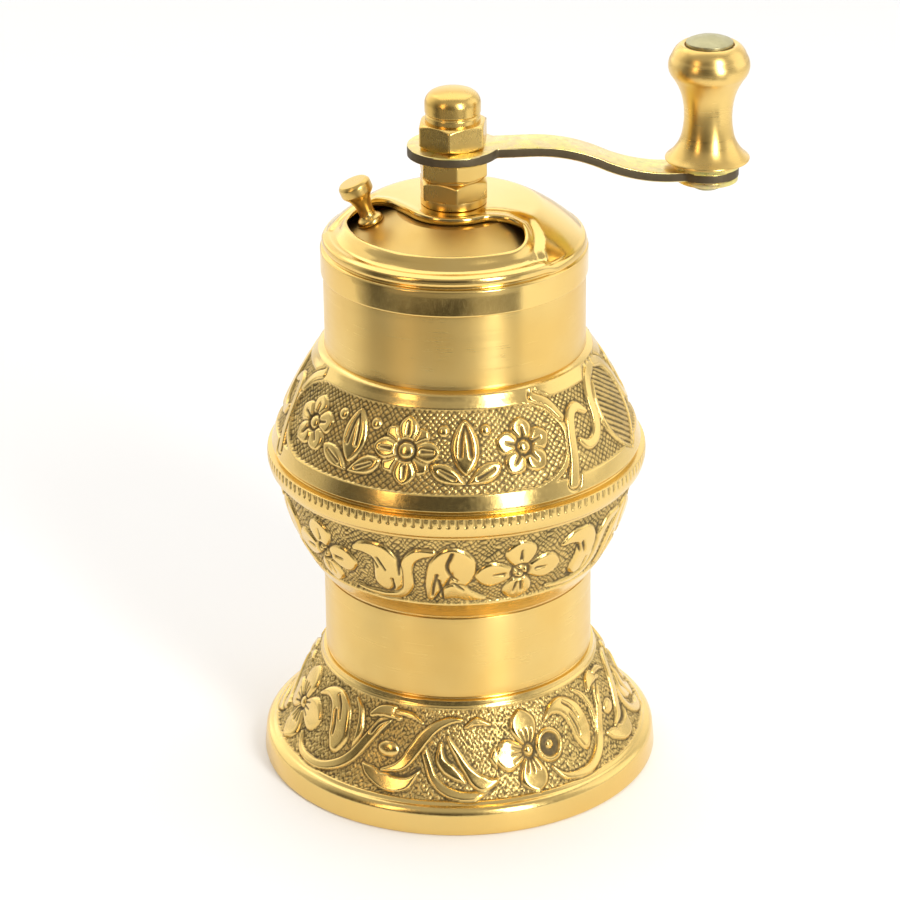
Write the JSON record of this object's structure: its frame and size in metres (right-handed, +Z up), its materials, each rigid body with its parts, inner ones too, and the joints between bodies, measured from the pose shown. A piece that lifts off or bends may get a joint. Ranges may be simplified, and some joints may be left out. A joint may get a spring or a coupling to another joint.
{
  "type": "pepper mill",
  "caption": "Crank pepper mill with a waisted two-part brass body, a flared foot, a lid with a turning shutter, an adjusting nut and a conical steel grinder.",
  "frame": {"origin": "centre of the flat base, on the surface that the mill stands on", "axes": "+Z up along the shaft, +X from the shaft towards the crank's handle at rest"},
  "size_m": [0.0792, 0.065, 0.1213],
  "materials": {
    "engraved_brass": "cast relief, polished high parts, dark patina in the recesses",
    "turned_brass": "finely turned and polished",
    "lid_brass": "pressed and polished",
    "fitting_brass": "machined hexagon bar",
    "zinc_steel": "yellow-passivated zinc plate",
    "burr_steel": "hardened, dark",
    "plain_steel": "drawn bar",
    "spring_steel": "bright wire"
  },
  "bodies": {
    "base_cup": {"base_shell": "engraved_brass", "base_floor": "turned_brass"},
    "hopper": {"hopper_shell": "engraved_brass", "coupling_sleeve": "turned_brass", "burr_ring": "burr_steel", "burr_ring_screws": "plain_steel", "shaft_bridge": "plain_steel", "bridge_rivets": "fitting_brass", "spring_top_washer": "plain_steel", "lid_cap": "lid_brass", "guide_bush": "fitting_brass", "bush_lock_nut": "fitting_brass", "shutter_wave_washer": "spring_steel"},
    "shutter": {"shutter_plate": "lid_brass", "shutter_knob": "fitting_brass"},
    "thrust_race": {"thrust_washer": "turned_brass"},
    "adjuster": {"adjusting_nut": "fitting_brass"},
    "shaft": {"drive_shaft": "plain_steel", "inner_burr": "burr_steel", "burr_washer": "plain_steel", "burr_nut": "plain_steel", "return_spring": "spring_steel", "spring_bottom_washer": "plain_steel", "crank_arm": "zinc_steel", "acorn_nut": "fitting_brass", "knob_pin": "zinc_steel", "knob_washer": "zinc_steel", "rivet_washer": "zinc_steel"},
    "handle": {"handle_knob": "turned_brass"}
  },
  "joints": [
    {"name": "hopper_lift", "type": "slide", "parent": "base_cup", "child": "hopper", "axis": [0, 0, 1], "range_m": [0, 0.04]},
    {"name": "shutter_turn", "type": "hinge", "parent": "hopper", "child": "shutter", "pos_m": [0, 0, 0.0942], "axis": [0, 0, 1], "range_deg": [0, 124]},
    {"name": "crank_turn", "type": "hinge", "parent": "hopper", "child": "thrust_race", "pos_m": [0, 0, 0.1001], "axis": [0, 0, 1], "continuous": true},
    {"name": "adjust_turn", "type": "hinge", "parent": "thrust_race", "child": "adjuster", "pos_m": [0, 0, 0.102], "axis": [0, 0, -1], "range_deg": [0, 180]},
    {"name": "grind_adjust", "type": "slide", "parent": "thrust_race", "child": "shaft", "axis": [0, 0, 1], "range_m": [0, 0.0005], "deforming": ["return_spring"]},
    {"name": "knob_spin", "type": "hinge", "parent": "shaft", "child": "handle", "pos_m": [0.04, 0, 0.11], "axis": [0, 0, 1], "continuous": true}
  ],
  "couplings": [
    {"joint": "adjust_turn", "follows": "grind_adjust", "rad_per_m": 6283.2}
  ]
}
